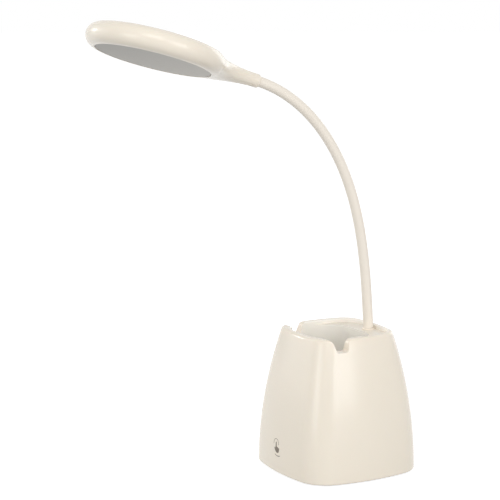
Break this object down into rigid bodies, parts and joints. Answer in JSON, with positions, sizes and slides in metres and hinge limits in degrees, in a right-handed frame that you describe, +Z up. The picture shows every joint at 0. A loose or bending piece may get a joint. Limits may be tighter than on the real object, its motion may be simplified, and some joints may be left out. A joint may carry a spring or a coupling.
{
  "type": "desk lamp with pen-holder base",
  "caption": "Gooseneck desk lamp with a flat round LED head on a waisted square base whose open top holds pens and a phone.",
  "frame": {"origin": "middle of the base, on the table", "axes": "+Z up, -Y the front with the touch mark, +Y the side where the neck stands"},
  "size_m": [0.1044, 0.2344, 0.3235],
  "materials": {
    "black_plastic": "black moulded plastic",
    "cast_ballast": "as-cast, dull",
    "cell_wrap": "shrink wrap over a steel can",
    "cream_abs": "smooth satin-gloss moulded ABS, warm cream",
    "cream_silicone": "satin silicone sleeve, warm cream",
    "green_board": "glass-epoxy board with solder mask",
    "grey_rubber": "matt silicone",
    "lead_insulation": "insulated stranded lead",
    "led_phosphor": "phosphor-filled chip",
    "opal_diffuser": "opal polycarbonate, unlit grey",
    "touch_copper": "phosphor bronze",
    "white_board": "white-masked aluminium board",
    "white_reflector": "white reflector plastic",
    "wound_steel": "wound spring steel",
    "zinc_steel": "zinc-plated steel"
  },
  "bodies": {
    "base": {"ballast_plate": "cast_ballast", "ballast_screws": "zinc_steel", "base_housing": "cream_abs", "battery_cell": "cell_wrap", "battery_holder": "black_plastic", "battery_leads": "lead_insulation", "board_components": "black_plastic", "board_screws": "zinc_steel", "bottom_cover": "cream_abs", "bottom_screws": "zinc_steel", "control_board": "green_board", "ferrule_washer": "zinc_steel", "lock_nut": "zinc_steel", "neck_ferrule": "zinc_steel", "neck_leads": "lead_insulation", "neck_root_core": "wound_steel", "non_slip_ring": "grey_rubber", "touch_board": "green_board", "touch_pad": "touch_copper", "touch_spring": "touch_copper", "usb_socket": "zinc_steel"},
    "link_1": {"neck_link_1": "wound_steel", "neck_sleeve_1": "cream_silicone"},
    "link_2": {"neck_link_2": "wound_steel", "neck_sleeve_2": "cream_silicone"},
    "link_3": {"neck_link_3": "wound_steel", "neck_sleeve_3": "cream_silicone"},
    "link_4": {"neck_link_4": "wound_steel", "neck_sleeve_4": "cream_silicone"},
    "link_5": {"neck_link_5": "wound_steel", "neck_sleeve_5": "cream_silicone"},
    "link_6": {"neck_link_6": "wound_steel", "neck_sleeve_6": "cream_silicone"},
    "link_7": {"neck_link_7": "wound_steel", "neck_sleeve_7": "cream_silicone"},
    "link_8": {"neck_link_8": "wound_steel", "neck_sleeve_8": "cream_silicone"},
    "link_9": {"neck_link_9": "wound_steel", "neck_sleeve_9": "cream_silicone"},
    "head": {"diffuser": "opal_diffuser", "head_leads": "lead_insulation", "head_lower_ring": "cream_abs", "head_nut": "zinc_steel", "head_top_cover": "cream_abs", "head_washer": "zinc_steel", "led_board": "white_board", "led_board_screws": "zinc_steel", "led_chips": "led_phosphor", "neck_insert": "zinc_steel", "neck_tip_core": "wound_steel", "reflector_tray": "white_reflector", "neck_sleeve_10": "cream_silicone"}
  },
  "joints": [
    {"name": "lower_bend", "type": "hinge", "parent": "base", "child": "link_1", "pos_m": [-0.00003, 0.02631, 0.10883], "axis": [0.999, -0.0436, 0], "range_deg": [-12, 8], "deforming": ["neck_sleeve_1"]},
    {"name": "lower_bend_2", "type": "hinge", "parent": "link_1", "child": "link_2", "pos_m": [-0.0001, 0.02466, 0.13046], "axis": [0.999, -0.0436, 0], "range_deg": [-12, 8], "deforming": ["neck_sleeve_2"]},
    {"name": "side_bend", "type": "hinge", "parent": "link_2", "child": "link_3", "pos_m": [-0.00021, 0.02223, 0.15203], "axis": [0.0432, 0.9894, 0.1389], "range_deg": [-12, 12], "deforming": ["neck_sleeve_3"]},
    {"name": "lower_bend_3", "type": "hinge", "parent": "link_3", "child": "link_4", "pos_m": [-0.00037, 0.01851, 0.1734], "axis": [0.999, -0.0436, 0], "range_deg": [-12, 8], "deforming": ["neck_sleeve_4"]},
    {"name": "lower_bend_4", "type": "hinge", "parent": "link_4", "child": "link_5", "pos_m": [-0.00061, 0.013, 0.19438], "axis": [0.999, -0.0436, 0], "range_deg": [-12, 8], "deforming": ["neck_sleeve_5"]},
    {"name": "side_bend_2", "type": "hinge", "parent": "link_5", "child": "link_6", "pos_m": [-0.00095, 0.00527, 0.21464], "axis": [0.0397, 0.9088, 0.4154], "range_deg": [-12, 12], "deforming": ["neck_sleeve_6"]},
    {"name": "upper_bend", "type": "hinge", "parent": "link_6", "child": "link_7", "pos_m": [-0.0014, -0.00507, 0.23369], "axis": [0.999, -0.0436, 0], "range_deg": [-14, 9], "deforming": ["neck_sleeve_7"]},
    {"name": "upper_bend_2", "type": "hinge", "parent": "link_7", "child": "link_8", "pos_m": [-0.00198, -0.01825, 0.25089], "axis": [0.999, -0.0436, 0], "range_deg": [-14, 9], "deforming": ["neck_sleeve_8"]},
    {"name": "side_bend_3", "type": "hinge", "parent": "link_8", "child": "link_9", "pos_m": [-0.00268, -0.03429, 0.26543], "axis": [0.0259, 0.5939, 0.8041], "range_deg": [-12, 12], "deforming": ["neck_sleeve_9"]},
    {"name": "upper_bend_3", "type": "hinge", "parent": "link_9", "child": "head", "pos_m": [-0.00349, -0.05295, 0.2764], "axis": [0.999, -0.0436, 0], "range_deg": [-14, 9], "deforming": ["neck_sleeve_10"]}
  ],
  "couplings": [
    {"joint": "lower_bend_2", "follows": "lower_bend", "ratio": 1},
    {"joint": "lower_bend_3", "follows": "lower_bend", "ratio": 1},
    {"joint": "lower_bend_4", "follows": "lower_bend", "ratio": 1},
    {"joint": "side_bend_2", "follows": "side_bend", "ratio": 1},
    {"joint": "upper_bend_2", "follows": "upper_bend", "ratio": 1},
    {"joint": "side_bend_3", "follows": "side_bend", "ratio": 1},
    {"joint": "upper_bend_3", "follows": "upper_bend", "ratio": 1}
  ]
}
